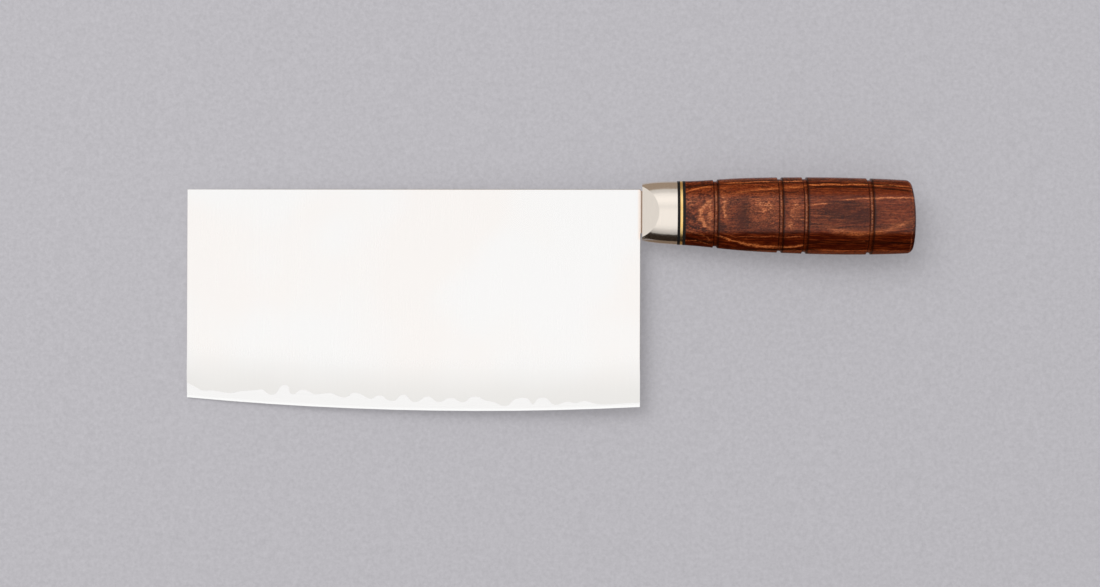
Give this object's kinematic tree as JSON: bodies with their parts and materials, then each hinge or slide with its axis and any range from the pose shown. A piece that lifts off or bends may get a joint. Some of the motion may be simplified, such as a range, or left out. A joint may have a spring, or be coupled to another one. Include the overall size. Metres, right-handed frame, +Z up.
{
  "type": "chinese cleaver",
  "caption": "Kitchen cleaver with a tall laminated blade, faceted metal bolster, thin spacers and a grooved wooden grip, lying on its side.",
  "frame": {"origin": "centre of the bounding box at the surface that the knife lies on", "axes": "+X from the blade's front end towards the butt of the handle, +Y towards the spine, +Z up from the surface; the knife lies on its side on the blade's front end and the grip's belly"},
  "size_m": [0.3498, 0.113, 0.0269],
  "materials": {
    "core_steel": "hard steel, finely polished along the edge",
    "cladding_steel": "soft stainless steel, finely brushed",
    "nickel_silver": "satin nickel silver with a warm tint",
    "solder": "dull solder",
    "black_spacer": "smooth black fibre sheet",
    "brass": "polished brass",
    "wood": "oiled reddish brown hardwood",
    "adhesive": "hardened adhesive"
  },
  "bodies": {
    "root": {"core_steel": "core_steel", "cladding_upper": "cladding_steel", "cladding_lower": "cladding_steel", "bolster": "nickel_silver", "bolster_solder": "solder", "spacer_front": "black_spacer", "spacer_brass": "brass", "spacer_rear": "black_spacer", "grip": "wood", "tang_adhesive": "adhesive"}
  },
  "joints": []
}
